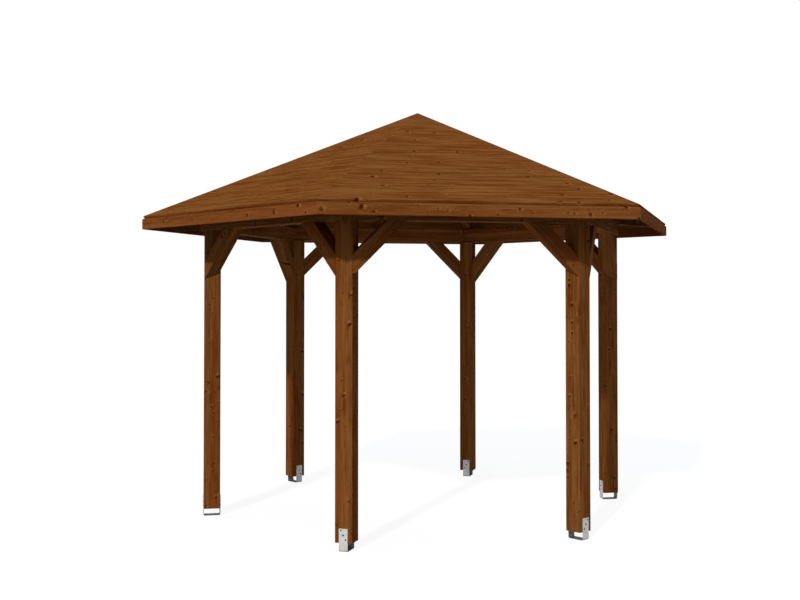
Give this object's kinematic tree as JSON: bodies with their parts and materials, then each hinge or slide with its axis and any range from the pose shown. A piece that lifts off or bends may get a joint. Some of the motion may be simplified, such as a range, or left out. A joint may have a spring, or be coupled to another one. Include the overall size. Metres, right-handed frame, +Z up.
{
  "type": "wooden pavilion",
  "caption": "Open hexagonal garden pavilion of brown stained timber: square posts on steel feet, braces, ring beam and a boarded pyramid roof.",
  "frame": {"origin": "on the ground below the roof apex, at the centre of the hexagon", "axes": "+X towards the right-hand post, the longest extent; -Y out of the front bay; +Z up"},
  "size_m": [4.2724, 3.7, 3.1214],
  "materials": {
    "post_timber": "brown stained glued spruce, satin",
    "beam_timber": "brown stained glued spruce, satin",
    "brace_timber": "brown stained glued spruce, satin",
    "rafter_timber": "brown stained spruce, satin",
    "roof_boards": "brown stained spruce boards, satin",
    "fascia_boards": "brown stained spruce board, satin",
    "galvanised_strap": "galvanised"
  },
  "bodies": {
    "root": {"braces_back": "brace_timber", "braces_front": "brace_timber", "braces_left_back": "brace_timber", "braces_left_front": "brace_timber", "braces_right_back": "brace_timber", "braces_right_front": "brace_timber", "fascia_back": "fascia_boards", "fascia_front": "fascia_boards", "fascia_left_back": "fascia_boards", "fascia_left_front": "fascia_boards", "fascia_right_back": "fascia_boards", "fascia_right_front": "fascia_boards", "foot_back_left": "galvanised_strap", "foot_back_right": "galvanised_strap", "foot_front_left": "galvanised_strap", "foot_front_right": "galvanised_strap", "foot_left": "galvanised_strap", "foot_right": "galvanised_strap", "hip_rafter_back_left": "rafter_timber", "hip_rafter_back_right": "rafter_timber", "hip_rafter_front_left": "rafter_timber", "hip_rafter_front_right": "rafter_timber", "hip_rafter_left": "rafter_timber", "hip_rafter_right": "rafter_timber", "king_block": "rafter_timber", "mid_rafters": "rafter_timber", "post_back_left": "post_timber", "post_back_right": "post_timber", "post_front_left": "post_timber", "post_front_right": "post_timber", "post_left": "post_timber", "post_right": "post_timber", "ring_beam_back": "beam_timber", "ring_beam_front": "beam_timber", "ring_beam_left_back": "beam_timber", "ring_beam_left_front": "beam_timber", "ring_beam_right_back": "beam_timber", "ring_beam_right_front": "beam_timber", "roof_panel_back": "roof_boards", "roof_panel_front": "roof_boards", "roof_panel_left_back": "roof_boards", "roof_panel_left_front": "roof_boards", "roof_panel_right_back": "roof_boards", "roof_panel_right_front": "roof_boards"}
  },
  "joints": []
}
